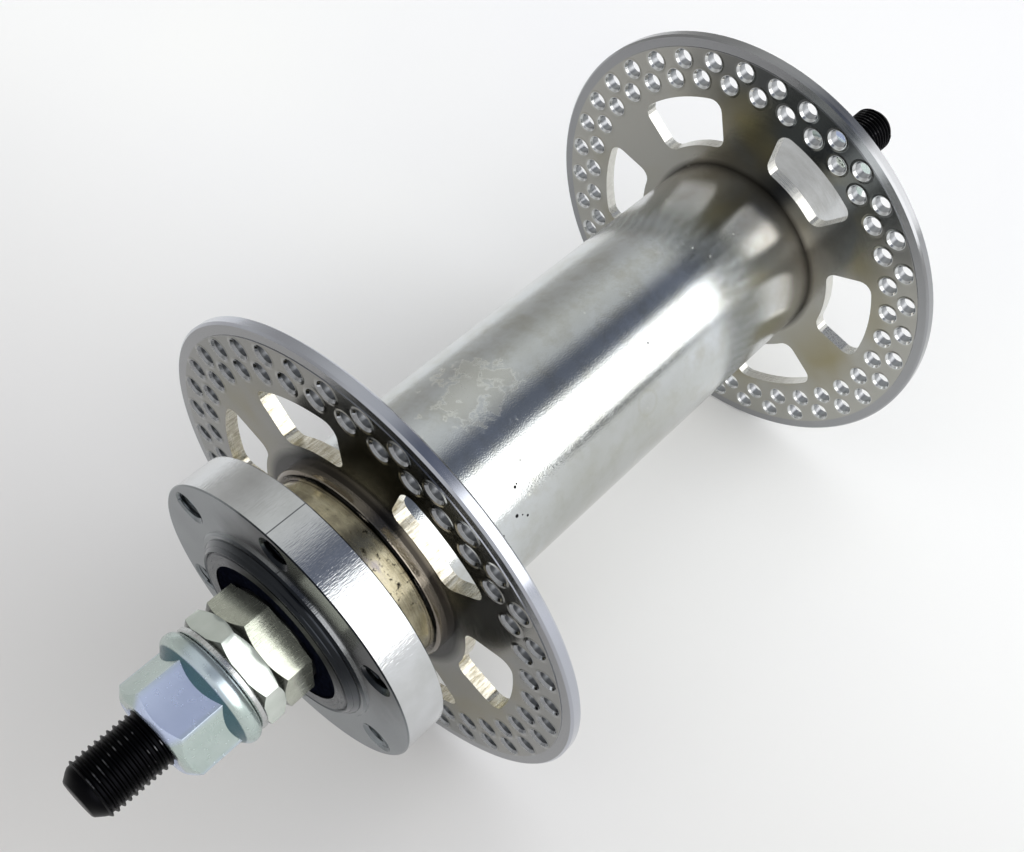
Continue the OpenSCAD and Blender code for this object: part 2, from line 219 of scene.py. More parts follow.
def tool_lines(tree, at, pitch, run, detail=3.0, roughness=0.6):
    """lines that a tool leaves round the axis, pitch mm apart, that change run times a radian"""
    lines = add(tree, "CombineXYZ", {
        0: add(tree, "Math", {0: at.turn, 1: run}, operation="MULTIPLY"),
        1: add(tree, "Math", {0: at.y, 1: 1 / pitch}, operation="MULTIPLY"),
        2: add(tree, "Math", {0: at.r, 1: 1 / pitch}, operation="MULTIPLY")})
    return add(tree, "TexNoise", {
        "Vector": lines, "Scale": 1.0, "Detail": detail, "Roughness": roughness})


def spread(tree, noise, low, high):
    """a noise's usual reach spread from low to high"""
    return add(tree, "MapRange", {
        IN: noise, LOW: NOISE_LOW, HIGH: NOISE_HIGH, AT_LOW: low, AT_HIGH: high})


def on_axis_turn(r, degrees, y):
    """a point in mm at a radius, a turn from +X towards +Z and a place along the axis"""
    a = math.radians(degrees)
    return (r * math.cos(a), y, r * math.sin(a))


def near_spot(tree, point, middle, inner, outer, most):
    """a soft cloudy patch round a point: most within inner mm, nothing past outer mm"""
    cloud = add(tree, "TexNoise", {"Vector": point, "Scale": 1 / 8.33, "Detail": 3.0})
    gap = add(tree, "VectorMath", {0: point, 1: middle}, operation="DISTANCE")
    uneven = add(tree, "Math", {0: cloud, 1: 0.5}, operation="SUBTRACT")
    ragged = add(tree, "Math", {0: uneven, 1: 10.0, 2: gap.outputs["Value"]},
                 operation="MULTIPLY_ADD")
    return add(tree, "MapRange", {IN: ragged, LOW: outer, HIGH: inner, AT_HIGH: most},
               interpolation_type="SMOOTHSTEP")


def make_floor_paper():
    # matt white paper: no gloss, a barely seen cloudiness, and painted shade that greys it towards
    # the disc's end
    material, tree, surface = start_material("matt_white_paper", Roughness=0.9)
    here = add(tree, "TexCoord").outputs["Object"]
    cloud = add(tree, "TexNoise", {"Vector": here, "Scale": 1 / (166.7 * MM), "Detail": 2.0})
    shade = add(tree, "ValToRGB", {0: cloud}, stops=[(0.3, "#f9f9fb"), (0.7, "#fefefc")])
    along = add(tree, "SeparateXYZ", {0: here}).outputs[1]
    # painted shade: the paper turns grey towards the disc's end
    painted_shade_fade = add(tree, "MapRange", {IN: along, LOW: -60 * MM, HIGH: 140 * MM},
               interpolation_type="SMOOTHSTEP")
    shade = add(tree, "Mix", {SHARE: painted_shade_fade, UNDER: shade, OVER: "#d7d5d3"}, data_type="RGBA")
    tree.links.new(result(shade), surface.inputs["Base Color"])
    surface.inputs["Specular IOR Level"].default_value = 0.2
    return material


def make_chromed_tube():
    # satin chromed steel, polished round the axis: a frosted edge to each highlight,
    # dried water stains near the disc side, a few black pits and a tea tint at the far end
    material, tree, surface = start_material("satin_chromed_steel", Metallic=1.0)
    at = find_places(tree)
    cloud = add(tree, "TexNoise", {
        "Vector": at.point, "Scale": 1 / 11.1, "Detail": 4.0, "Roughness": 0.6})
    steel = add(tree, "ValToRGB", {0: cloud}, stops=[(0.3, "#c3c6c4"), (0.65, "#cfd3d5")])

    # water stain: drawn by a ragged threshold round its middle, with a paler dried edge
    ragged = add(tree, "TexNoise", {
        "Vector": at.point, "Scale": 1 / 2.38, "Detail": 5.0, "Roughness": 0.55, "Distortion": 0.3})
    away = add(tree, "VectorMath", {
        0: at.point, 1: on_axis_turn(TUBE_R, 92, 24.5)}, operation="DISTANCE")
    reach = add(tree, "MapRange", {
        IN: away.outputs["Value"], LOW: 0.0, HIGH: 10.5, AT_LOW: 0.20, AT_HIGH: -0.22})
    stained = add(tree, "Math", {0: ragged, 1: reach}, operation="ADD")
    stain = add(tree, "MapRange", {IN: stained, LOW: 0.50, HIGH: 0.53})
    edge = add(tree, "ValToRGB", {0: stained}, stops=[
        (0.46, "#000000"), (0.505, "#ffffff"), (0.55, "#000000")])
    dull = add(tree, "TexNoise", {
        "Vector": at.point, "Scale": 1 / 4.55, "Detail": 5.0, "Roughness": 0.65})
    dulled = add(tree, "MapRange", {IN: dull, LOW: 0.45, HIGH: 0.7, AT_HIGH: 0.55})
    tone = add(tree, "Mix", {SHARE: dulled, UNDER: steel, OVER: "#b0afa4"}, data_type="RGBA")
    thin = add(tree, "Math", {0: stain, 1: 0.7}, operation="MULTIPLY")
    tone = add(tree, "Mix", {SHARE: thin, UNDER: tone, OVER: "#cdcec8"}, data_type="RGBA")
    dried = add(tree, "Math", {0: edge, 1: 0.6}, operation="MULTIPLY")
    tone = add(tree, "Mix", {SHARE: dried, UNDER: tone, OVER: "#eceee9"}, data_type="RGBA")

    # the yellowish ring that a drop left
    away = add(tree, "VectorMath", {
        0: at.point, 1: on_axis_turn(TUBE_R, 159, 0.1)}, operation="DISTANCE")
    reach = add(tree, "MapRange", {IN: away.outputs["Value"], LOW: 0.0, HIGH: 4.0})
    ring = add(tree, "ValToRGB", {0: reach}, stops=[
        (0.42, "#000000"), (0.54, "#808080"), (0.66, "#000000")])
    tone = add(tree, "Mix", {SHARE: ring, UNDER: tone, OVER: "#a59f82"}, data_type="RGBA")

    # painted shade: darker on the underside
    underside_painted_shade = near_spot(tree, at.point, on_axis_turn(TUBE_R, 196, 10), 8.0, 34.0, 0.5)
    tone = add(tree, "Mix", {SHARE: underside_painted_shade, UNDER: tone, OVER: "#9b9b93"}, data_type="RGBA")

    # tea tint towards the far flange
    far = add(tree, "MapRange", {IN: at.y, LOW: -30.0, HIGH: -46.5, AT_HIGH: 0.55})
    tone = add(tree, "Mix", {SHARE: far, UNDER: tone, OVER: "#a4937a"}, data_type="RGBA")

    # brown heat tint on the end that stands out of the left flange
    ends = add(tree, "MapRange", {IN: at.y, LOW: 48.0, HIGH: 48.8})
    tone = add(tree, "Mix", {SHARE: ends, UNDER: tone, OVER: "#857e74"}, data_type="RGBA")

    # black pits, each by its place along the axis, its turn and its radius
    pits = None
    for place, degrees, size in (
            (29.4, 144, 0.30), (31.4, 156.8, 0.36), (29.6, 160.9, 0.26), (34.9, 160.6, 0.22),
            (26.2, 135.4, 0.14), (-5.4, 132.8, 0.2), (28.9, 143.2, 0.18), (30.4, 158.5, 0.16)):
        gap = add(tree, "VectorMath", {
            0: at.point, 1: on_axis_turn(TUBE_R, degrees, place)}, operation="DISTANCE")
        pit = add(tree, "MapRange", {IN: gap.outputs["Value"], LOW: size, HIGH: size * 0.7})
        pits = pit if pits is None else add(tree, "Math", {0: pits, 1: pit}, operation="MAXIMUM")
    tone = add(tree, "Mix", {SHARE: pits, UNDER: tone, OVER: "#17171a"}, data_type="RGBA")

    # grit of the polishing band, drawn at 0.24 mm where the real one is finer
    grit = add(tree, "TexNoise", {
        "Vector": at.point, "Scale": 1 / 0.238, "Detail": 1.0, "Roughness": 0.6})
    lines = tool_lines(tree, at, 0.35, 9.0)
    rough = spread(tree, lines, 0.07, 0.11)
    rough = add(tree, "Math", {0: stain, 1: 0.2, 2: rough}, operation="MULTIPLY_ADD")
    rough = add(tree, "Math", {0: pits, 1: 0.5, 2: rough}, operation="MULTIPLY_ADD")
    # duller towards the far flange
    duller = add(tree, "MapRange", {IN: at.y, LOW: -8.0, HIGH: -34.0, AT_HIGH: 0.12})
    rough = add(tree, "Math", {0: rough, 1: duller}, operation="ADD")
    fine = add(tree, "Bump", {"Height": grit, "Distance": 0.018 * MM})
    coarse = add(tree, "Bump", {"Height": lines, "Distance": 0.002 * MM, "Normal": fine})
    set_finish(surface, tone, rough, coarse)
    return material


def make_nickel_flange():
    # nickelled steel plate, polished after stamping: dark mirror faces with a straw tint round
    # the windows, straw torn walls in the windows, a turned band along the rim; painted light and
    # shade tone the two flanges apart, with a painted highlight on the left rim's outer wall
    material, tree, surface = start_material("polished_nickel_plate", Metallic=1.0)
    at = find_places(tree)
    cloud = add(tree, "TexNoise", {"Vector": at.point, "Scale": 1 / 20, "Detail": 3.0})
    face = add(tree, "ValToRGB", {0: cloud}, stops=[
        (0.30, "#878883"), (0.5, "#91918e"), (0.70, "#99978f")])
    # painted light: the same plating is painted paler on the right flange
    right = add(tree, "MapRange", {IN: at.y, LOW: 1.0, HIGH: -1.0})
    face = add(tree, "Mix", {SHARE: right, UNDER: face, OVER: "#a9a8a2"}, data_type="RGBA")
    # a painted dark reflection on part of the right flange's face
    painted_dark_reflection = near_spot(tree, at.point, on_axis_turn(36, 118, -46.6), 14.0, 34.0, 0.9)
    face = add(tree, "Mix", {SHARE: painted_dark_reflection, UNDER: face, OVER: "#3f4244"}, data_type="RGBA")
    # how far a point is from the middle of the nearest spoke hole, in either ring
    degrees = add(tree, "Math", {0: at.turn, 1: -180 / math.pi}, operation="MULTIPLY")
    phase = add(tree, "MapRange", {
        IN: right, AT_LOW: 90.0 - LEFT_HOLE_TURN, AT_HIGH: 90.0 - RIGHT_HOLE_TURN})
    local = add(tree, "Math", {0: degrees, 1: phase}, operation="ADD")
    lip = None
    for ring_r, shift in ((INNER_RING_R, HOLE_STEP / 2), (OUTER_RING_R, 0.0)):
        shifted = add(tree, "Math", {0: local, 1: shift}, operation="ADD")
        step = add(tree, "Math", {0: shifted, 1: HOLE_STEP, 2: 0.0}, operation="WRAP")
        middle = add(tree, "Math", {0: step, 1: HOLE_STEP / 2}, operation="SUBTRACT")
        beside = add(tree, "Math", {0: middle, 1: math.radians(ring_r)}, operation="MULTIPLY")
        above = add(tree, "Math", {0: at.r, 1: ring_r}, operation="SUBTRACT")
        away = add(tree, "CombineXYZ", {0: beside, 1: above})
        gap = add(tree, "VectorMath", {0: away}, operation="LENGTH").outputs["Value"]
        lip = gap if lip is None else add(tree, "Math", {0: lip, 1: gap}, operation="MINIMUM")
    # straw tint in soft patches near the windows
    patches = add(tree, "TexNoise", {"Vector": at.point, "Scale": 1 / 14.3, "Detail": 2.0})
    reach = add(tree, "MapRange", {IN: at.r, LOW: TUBE_R, HIGH: 42.0})
    near = add(tree, "ValToRGB", {0: reach}, stops=[
        (0.0, "#505050"), (0.45, "#ffffff"), (0.8, "#000000")])
    patchy = add(tree, "MapRange", {IN: patches, LOW: 0.42, HIGH: 0.68, AT_HIGH: 0.7})
    straw = add(tree, "Math", {0: near, 1: patchy}, operation="MULTIPLY")
    face = add(tree, "Mix", {SHARE: straw, UNDER: face, OVER: "#8c8257"}, data_type="RGBA")
    # walls of holes and windows, and the rim, look away from the axis's direction
    wall = add(tree, "MapRange", {IN: facing_along(tree), LOW: 0.93, HIGH: 0.80})
    rim = add(tree, "MapRange", {IN: at.r, LOW: 40.3, HIGH: 40.6})
    tear = add(tree, "TexNoise", {
        "Vector": stretched(tree, at, 0.417, 2.0), "Scale": 1.0, "Detail": 4.0, "Roughness": 0.6})
    torn = add(tree, "ValToRGB", {0: tear}, stops=[
        (0.30, "#a19983"), (0.46, "#c9c3b1"), (0.60, "#e4e0d3")])
    # the right flange's windows are smoother, and their walls are painted paler: painted light
    smooth = add(tree, "Math", {0: right, 1: 0.8}, operation="MULTIPLY")
    torn = add(tree, "Mix", {SHARE: smooth, UNDER: torn, OVER: "#d6d6d2"}, data_type="RGBA")
    window_zone = add(tree, "MapRange", {IN: at.r, LOW: 31.9, HIGH: 31.6})
    # painted shade: the spoke holes' walls are darker on the left flange than on the right
    hole = add(tree, "Mix", {SHARE: right, UNDER: "#808285", OVER: "#a3a5a8"}, data_type="RGBA")
    wall_tone = add(tree, "Mix", {SHARE: window_zone, UNDER: hole, OVER: torn}, data_type="RGBA")
    tone = add(tree, "Mix", {SHARE: wall, UNDER: face, OVER: wall_tone}, data_type="RGBA")
    # a painted highlight: a brighter ring where each hole is countersunk, painted darker on the
    # left flange
    sink_painted_highlight = add(tree, "Math", {
        0: add(tree, "MapRange", {IN: lip, LOW: HOLE_SINK_R + 0.12, HIGH: HOLE_SINK_R + 0.02}),
        1: add(tree, "MapRange", {IN: lip, LOW: HOLE_R, HIGH: HOLE_R + 0.06})},
        operation="MULTIPLY")
    ring = add(tree, "Mix", {SHARE: right, UNDER: "#9b9da0", OVER: "#d3d5d6"}, data_type="RGBA")
    tone = add(tree, "Mix", {SHARE: sink_painted_highlight, UNDER: tone, OVER: ring}, data_type="RGBA")
    # the rim, with a painted highlight on the outer wall of the left flange
    outer = add(tree, "MapRange", {IN: right, AT_LOW: wall, AT_HIGH: 0.0})
    edge = add(tree, "Mix", {SHARE: outer, UNDER: "#9b9c9e", OVER: "#b9bcc5"}, data_type="RGBA")
    tone = add(tree, "Mix", {SHARE: rim, UNDER: tone, OVER: edge}, data_type="RGBA")
    # grease and painted shade in the corner where the flange meets the tube
    reach = add(tree, "Math", {0: right, 1: 1.9, 2: at.r}, operation="MULTIPLY_ADD")
    seat = add(tree, "MapRange", {IN: reach, LOW: 21.2, HIGH: 19.6})
    tone = add(tree, "Mix", {SHARE: seat, UNDER: tone, OVER: "#16130f"}, data_type="RGBA")
    lines = tool_lines(tree, at, 0.3, 6.0)
    rough = spread(tree, lines, 0.13, 0.2)
    window_wall = add(tree, "Math", {0: wall, 1: window_zone}, operation="MULTIPLY")
    torn_rough = add(tree, "Math", {0: window_wall, 1: 0.12}, operation="MULTIPLY")
    rough = add(tree, "Math", {0: rough, 1: torn_rough}, operation="ADD")
    # the spoke holes' walls are as the punch left them
    punched = add(tree, "MapRange", {
        IN: lip, LOW: HOLE_R + 0.12, HIGH: HOLE_R + 0.04, AT_HIGH: 0.22})
    rough = add(tree, "Math", {0: rough, 1: punched}, operation="ADD")
    grain = add(tree, "Bump", {"Height": lines, "Distance": 0.003 * MM})
    torn_depth = add(tree, "MapRange", {IN: right, AT_LOW: 3.5, AT_HIGH: 1.5})
    torn_depth = add(tree, "Math", {0: torn_rough, 1: torn_depth}, operation="MULTIPLY")
    ridges = add(tree, "Math", {0: tear, 1: torn_depth}, operation="MULTIPLY")
    ripped = add(tree, "Bump", {"Height": ridges, "Distance": 0.03 * MM, "Normal": grain})
    # the metal stands up a little round each hole
    raised = add(tree, "MapRange", {
        IN: lip, LOW: HOLE_SINK_R - 0.05, HIGH: HOLE_SINK_R + 0.55, AT_LOW: 1.0, AT_HIGH: 0.0},
        interpolation_type="SMOOTHSTEP")
    rolled = add(tree, "Bump", {"Height": raised, "Distance": 0.1 * MM, "Normal": ripped})
    set_finish(surface, tone, rough, rolled)
    return material


def make_sleeve():
    # plated steel sleeve: straw and brown heat tint with dark specks on the left neck, plain on
    # the right one, grey at the bearing's end, with painted shade on part of the left neck and a
    # painted dark reflection on the end ring
    material, tree, surface = start_material("heat_tinted_plated_steel", Metallic=1.0)
    at = find_places(tree)
    out = add(tree, "Math", {0: at.y}, operation="ABSOLUTE")
    patches = add(tree, "TexNoise", {
        "Vector": stretched(tree, at, 6.25, 3.33), "Scale": 1.0, "Detail": 5.0, "Roughness": 0.6})
    tint = add(tree, "ValToRGB", {0: patches}, stops=[
        (0.33, "#8f8875"), (0.46, "#bab297"), (0.56, "#cfc8ae"), (0.68, "#a9a3a5")])
    end = add(tree, "MapRange", {IN: out, LOW: 64.4, HIGH: 64.6})
    # a painted dark reflection on part of the end ring
    painted_dark_reflection = near_spot(tree, at.point, on_axis_turn(17, 126, 65.5), 9.0, 22.0, 0.9)
    ring = add(tree, "Mix", {SHARE: painted_dark_reflection, UNDER: "#63676b", OVER: "#1c1e22"}, data_type="RGBA")
    # painted shade on part of the left neck, which also thickens its dark specks
    neck_painted_shade = near_spot(tree, at.point, on_axis_turn(16.5, 136, 55.0), 5.0, 14.0, 1.0)
    neck_shade_share = add(tree, "Math", {0: neck_painted_shade, 1: 0.5}, operation="MULTIPLY")
    tint = add(tree, "Mix", {SHARE: neck_shade_share, UNDER: tint, OVER: "#4d4634"}, data_type="RGBA")
    # the right sleeve kept its plain plated tone
    plain = add(tree, "ValToRGB", {0: patches}, stops=[(0.3, "#b4b5b4"), (0.7, "#c8cacb")])
    right = add(tree, "MapRange", {IN: at.y, LOW: 1.0, HIGH: -1.0})
    tint = add(tree, "Mix", {SHARE: right, UNDER: tint, OVER: plain}, data_type="RGBA")
    tone = add(tree, "Mix", {SHARE: end, UNDER: tint, OVER: ring}, data_type="RGBA")
    # dark specks of dirt, thicker where the neck's shade is painted
    specks = add(tree, "TexNoise", {
        "Vector": at.point, "Scale": 1 / 1.11, "Detail": 5.0, "Roughness": 0.8})
    specks = add(tree, "Math", {0: neck_painted_shade, 1: 0.12, 2: specks}, operation="MULTIPLY_ADD")
    dirt_and_painted_shade = add(tree, "MapRange", {IN: specks, LOW: 0.67, HIGH: 0.75})
    tone = add(tree, "Mix", {SHARE: dirt_and_painted_shade, UNDER: tone, OVER: "#1d1a16"}, data_type="RGBA")
    lines = tool_lines(tree, at, 0.3, 4.0)
    rough = spread(tree, lines, 0.15, 0.26)
    rough = add(tree, "Math", {0: dirt_and_painted_shade, 1: 0.4, 2: rough}, operation="MULTIPLY_ADD")
    grain = add(tree, "Bump", {"Height": lines, "Distance": 0.008 * MM})
    set_finish(surface, tone, rough, grain)
    return material


def make_disc_mount():
    # zinc plated turned steel: a plain grey face, a frosted turned side, sharp bright edges
    material, tree, surface = start_material("zinc_plated_turned_steel", Metallic=1.0)
    at = find_places(tree)
    side = add(tree, "MapRange", {IN: facing_along(tree), LOW: 0.6, HIGH: 0.4})
    cloud = add(tree, "TexNoise", {
        "Vector": at.point, "Scale": 1 / 8.33, "Detail": 4.0, "Roughness": 0.6})
    face = add(tree, "ValToRGB", {0: cloud}, stops=[(0.3, "#7f8488"), (0.7, "#8e9396")])
    band = add(tree, "ValToRGB", {0: cloud}, stops=[(0.3, "#c2c4c4"), (0.7, "#d6d8da")])
    # a painted dark reflection on part of the face, fading raggedly into the plain metal
    painted_dark_reflection = near_spot(tree, at.point, on_axis_turn(19, 128, 64.5), 12.0, 22.0, 1.0)
    face = add(tree, "Mix", {SHARE: painted_dark_reflection, UNDER: face, OVER: "#1f2226"}, data_type="RGBA")
    # the back, towards the flange, is painted dark: painted shade
    back = add(tree, "MapRange", {IN: at.y, LOW: 57.7, HIGH: 57.5})
    face = add(tree, "Mix", {SHARE: back, UNDER: face, OVER: "#3f4144"}, data_type="RGBA")
    tone = add(tree, "Mix", {SHARE: side, UNDER: face, OVER: band}, data_type="RGBA")
    # one thin scratch across the side
    scratch = add(tree, "VectorMath", {0: at.point, 1: on_axis_turn(MOUNT_R, 98.6, 60.5)},
                  operation="SUBTRACT")
    beside = add(tree, "Math", {
        0: add(tree, "SeparateXYZ", {0: scratch}).outputs[0]}, operation="ABSOLUTE")
    line = add(tree, "MapRange", {IN: beside, LOW: 0.12, HIGH: 0.06})
    line = add(tree, "Math", {0: line, 1: side}, operation="MULTIPLY")
    tone = add(tree, "Mix", {SHARE: line, UNDER: tone, OVER: "#6a6c70"}, data_type="RGBA")
    frost = add(tree, "TexNoise", {
        "Vector": stretched(tree, at, 0.222, 1.0), "Scale": 1.0, "Detail": 2.0, "Roughness": 0.6})
    rough = add(tree, "MapRange", {IN: side, AT_LOW: 0.22, AT_HIGH: 0.08})
    depth = add(tree, "MapRange", {IN: side, AT_LOW: 0.15})
    height = add(tree, "Math", {0: frost, 1: depth}, operation="MULTIPLY")
    grain = add(tree, "Bump", {"Height": height, "Distance": 0.03 * MM})
    set_finish(surface, tone, rough, grain)
    return material


def make_ground_steel(name, dark, pale, rough_low, rough_high, depth, ends=None, paint_dark_reflection=False):
    # ground or turned steel: fine lines round the axis and a little unevenness of tone;
    # depth is that of the lines in mm, and ends the darker tone painted as shade on faces that look
    # along the axis
    material, tree, surface = start_material(name, Metallic=1.0)
    at = find_places(tree)
    cloud = add(tree, "TexNoise", {
        "Vector": at.point, "Scale": 1 / 4, "Detail": 4.0, "Roughness": 0.6})
    tone = add(tree, "ValToRGB", {0: cloud}, stops=[(0.3, dark), (0.7, pale)])
    lines = tool_lines(tree, at, 0.25, 5.0)
    rough = spread(tree, lines, rough_low, rough_high)
    if paint_dark_reflection:
        # a painted dark reflection on part of the race
        painted_dark_reflection = near_spot(tree, at.point, on_axis_turn(14, 130, 66.4), 7.0, 18.0, 0.95)
        tone = add(tree, "Mix", {SHARE: painted_dark_reflection, UNDER: tone, OVER: "#0c0d0f"}, data_type="RGBA")
        rough = add(tree, "Math", {0: painted_dark_reflection, 1: 0.35, 2: rough}, operation="MULTIPLY_ADD")
    elif ends:
        # zinc over the steel: a milky skin
        surface.inputs["Metallic"].default_value = 0.6
        # painted shade: faces that look along the axis are darker
        end_painted_shade = add(tree, "MapRange", {IN: facing_along(tree), LOW: 0.25, HIGH: 0.5, AT_HIGH: 0.9})
        tone = add(tree, "Mix", {SHARE: end_painted_shade, UNDER: tone, OVER: ends}, data_type="RGBA")
    grain = add(tree, "Bump", {"Height": lines, "Distance": depth * MM})
    set_finish(surface, tone, rough, grain)
    return material


def make_brushed_nut():
    # plated bright steel, filed along the axis: short brush marks that fray the highlight
    material, tree, surface = start_material("brushed_plated_steel", Metallic=0.85)
    at = find_places(tree)
    cloud = add(tree, "TexNoise", {
        "Vector": at.point, "Scale": 1 / 3.33, "Detail": 5.0, "Roughness": 0.65})
    tone = add(tree, "ValToRGB", {0: cloud}, stops=[(0.3, "#b3b7a8"), (0.7, "#d0d4c5")])
    # painted shade: faces that look along the axis are darker
    end_painted_shade = add(tree, "MapRange", {IN: facing_along(tree), LOW: 0.25, HIGH: 0.5, AT_HIGH: 0.9})
    tone = add(tree, "Mix", {SHARE: end_painted_shade, UNDER: tone, OVER: "#4b4d48"}, data_type="RGBA")
    strokes = add(tree, "TexNoise", {
        "Vector": stretched(tree, at, 0.286, 2.0), "Scale": 1.0, "Detail": 4.0, "Roughness": 0.75})
    rough = spread(tree, strokes, 0.16, 0.3)
    grain = add(tree, "Bump", {"Height": strokes, "Distance": 0.04 * MM})
    set_finish(surface, tone, rough, grain)
    return material


def make_zinc_nut():
    # blue zinc on a pressed nut: a smooth, slightly milky skin with a cool green cast
    material, tree, surface = start_material("blue_zinc_plate", Metallic=0.72)
    at = find_places(tree)
    cloud = add(tree, "TexNoise", {
        "Vector": at.point, "Scale": 1 / 2.86, "Detail": 4.0, "Roughness": 0.6})
    mint = add(tree, "ValToRGB", {0: cloud}, stops=[(0.3, "#b4c3be"), (0.7, "#becbc7")])
    # painted light: a lavender sheen on every other flat
    flats = add(tree, "Math", {0: at.turn, 1: 3.0, 2: math.radians(3 * AXLE_NUT_TURN)},
                operation="MULTIPLY_ADD")
    wave = add(tree, "Math", {0: flats}, operation="COSINE")
    away = add(tree, "Math", {0: at.y}, operation="ABSOLUTE")
    painted_lavender_sheen = add(tree, "Math", {
        0: add(tree, "MapRange", {IN: wave, LOW: -0.25, HIGH: 0.25}),
        1: add(tree, "MapRange", {IN: away, LOW: 79.3, HIGH: 79.6, AT_LOW: 0.3})},
        operation="MULTIPLY")
    tone = add(tree, "Mix", {SHARE: painted_lavender_sheen, UNDER: mint, OVER: "#c7d3ef"}, data_type="RGBA")
    # painted shade: the cone at the foot of the flats is darker and bluer
    foot_painted_shade = add(tree, "Math", {
        0: add(tree, "MapRange", {IN: away, LOW: 79.35, HIGH: 79.5}),
        1: add(tree, "MapRange", {IN: away, LOW: 81.1, HIGH: 81.0})}, operation="MULTIPLY")
    cone = add(tree, "MapRange", {IN: facing_along(tree), LOW: 0.5, HIGH: 0.7})
    foot_painted_shade = add(tree, "Math", {0: foot_painted_shade, 1: cone}, operation="MULTIPLY")
    tone = add(tree, "Mix", {SHARE: foot_painted_shade, UNDER: tone, OVER: "#4a6870"}, data_type="RGBA")
    pores = add(tree, "TexNoise", {
        "Vector": at.point, "Scale": 1 / 0.833, "Detail": 2.0, "Roughness": 0.5})
    rough = spread(tree, pores, 0.23, 0.28)
    grain = add(tree, "Bump", {"Height": pores, "Distance": 0.002 * MM})
    set_finish(surface, tone, rough, grain)
    return material


def make_washer():
    # hard washer, blanked and tumbled: scratches across its rim
    material, tree, surface = start_material("tumbled_washer_steel", Metallic=1.0)
    at = find_places(tree)
    cuts = tool_lines(tree, at, 1.25, 22.0, detail=5.0, roughness=0.7)
    tone = add(tree, "ValToRGB", {0: cuts}, stops=[
        (0.32, "#8f8d86"), (0.42, "#c6c8c6"), (0.7, "#d6d9da")])
    rough = spread(tree, cuts, 0.32, 0.18)
    grain = add(tree, "Bump", {"Height": cuts, "Distance": 0.04 * MM})
    set_finish(surface, tone, rough, grain)
    return material


def make_black_oxide():
    # black oxide on rolled thread: deep black roots, crests worn to bare steel in places
    material, tree, surface = start_material("black_oxide_steel", Metallic=1.0)
    at = find_places(tree)
    wear = add(tree, "TexNoise", {
        "Vector": stretched(tree, at, 2.0, 8.33), "Scale": 1.0, "Detail": 3.0, "Roughness": 0.6})
    crest = add(tree, "MapRange", {IN: at.r, LOW: CREST_R - 0.09, HIGH: CREST_R - 0.01})
    worn = add(tree, "MapRange", {IN: wear, LOW: 0.56, HIGH: 0.72})
    bare = add(tree, "Math", {0: crest, 1: worn}, operation="MULTIPLY")
    tone = add(tree, "Mix", {SHARE: bare, UNDER: "#0d0d0f", OVER: "#6f6f71"}, data_type="RGBA")
    rough = add(tree, "MapRange", {IN: bare, AT_LOW: 0.42, AT_HIGH: 0.24})
    scale = add(tree, "TexNoise", {"Vector": at.point, "Scale": 1 / 0.2, "Detail": 3.0})
    grain = add(tree, "Bump", {"Height": scale, "Distance": 0.01 * MM})
    set_finish(surface, tone, rough, grain)
    return material


def make_seal_rubber():
    # moulded nitrile rubber: near black with a blue cast, a soft sheen and faint moulding rings
    material, tree, surface = start_material("moulded_nitrile_rubber", IOR=1.5)
    surface.inputs["Specular IOR Level"].default_value = 0.0
    at = find_places(tree)
    dust = add(tree, "TexNoise", {
        "Vector": at.point, "Scale": 1 / 0.667, "Detail": 5.0, "Roughness": 0.7})
    tone = add(tree, "ValToRGB", {0: dust}, stops=[(0.4, "#05060b"), (0.8, "#141724")])
    rough = spread(tree, dust, 0.3, 0.5)
    rings = add(tree, "TexWave", {
        "Vector": add(tree, "CombineXYZ", {0: at.r}), "Scale": 0.5}, wave_type="BANDS")
    grain = add(tree, "Bump", {"Height": rings, "Distance": 0.02 * MM, "Strength": 0.6})
    set_finish(surface, tone, rough, grain)
    return material


# Shaping tools


def turn_profile(bm, profile, steps=192):
    """turns a closed profile of (radius, place) points once round the axis"""
    corners = [bm.verts.new((r * MM, y * MM, 0)) for r, y in profile]
    loop = [bm.edges.new(pair) for pair in zip(corners, corners[1:] + corners[:1])]
    bmesh.ops.spin(bm, geom=corners + loop, axis=(0, 1, 0), cent=(0, 0, 0),
                   angle=2 * math.pi, steps=steps, use_merge=True)
    bmesh.ops.remove_doubles(bm, verts=bm.verts[:], dist=0.001 * MM)
    bmesh.ops.recalc_face_normals(bm, faces=bm.faces[:])


def arc(centre_r, centre_y, radius, start, stop, steps):
    """points of a profile along an arc, in degrees from the outward direction towards +Y"""
    points = []
    for i in range(steps + 1):
        a = math.radians(start + (stop - start) * i / steps)
        points.append((centre_r + radius * math.cos(a), centre_y + radius * math.sin(a)))
    return points


def wind_thread(bm, ridge, pitch, turns, steps):
    """winds a right-hand thread of a closed ridge profile, and returns its points"""
    coil = bmesh.new()
    corners = [coil.verts.new((r * MM, y * MM, 0)) for r, y in ridge]
    outline = [coil.edges.new(pair) for pair in zip(corners, corners[1:] + corners[:1])]
    bmesh.ops.spin(coil, geom=corners + outline, axis=(0, 1, 0), cent=(0, 0, 0),
                   dvec=(0, pitch / steps * MM, 0), angle=-2 * math.pi, steps=steps,
                   use_merge=False)
    bmesh.ops.spin(coil, geom=coil.verts[:] + coil.edges[:] + coil.faces[:], axis=(0, 1, 0),
                   cent=(0, 0, 0), dvec=(0, pitch * MM, 0), angle=0.0, steps=turns - 1,
                   use_duplicate=True)
    bmesh.ops.remove_doubles(coil, verts=coil.verts[:], dist=0.002 * MM)
    bmesh.ops.holes_fill(coil, edges=[e for e in coil.edges if e.is_boundary], sides=0)
    wound = bpy.data.meshes.new("wound_thread")
    coil.to_mesh(wound)
    coil.free()
    before = set(bm.verts)
    bm.from_mesh(wound)
    bpy.data.meshes.remove(wound)
    return [v for v in bm.verts if v not in before]


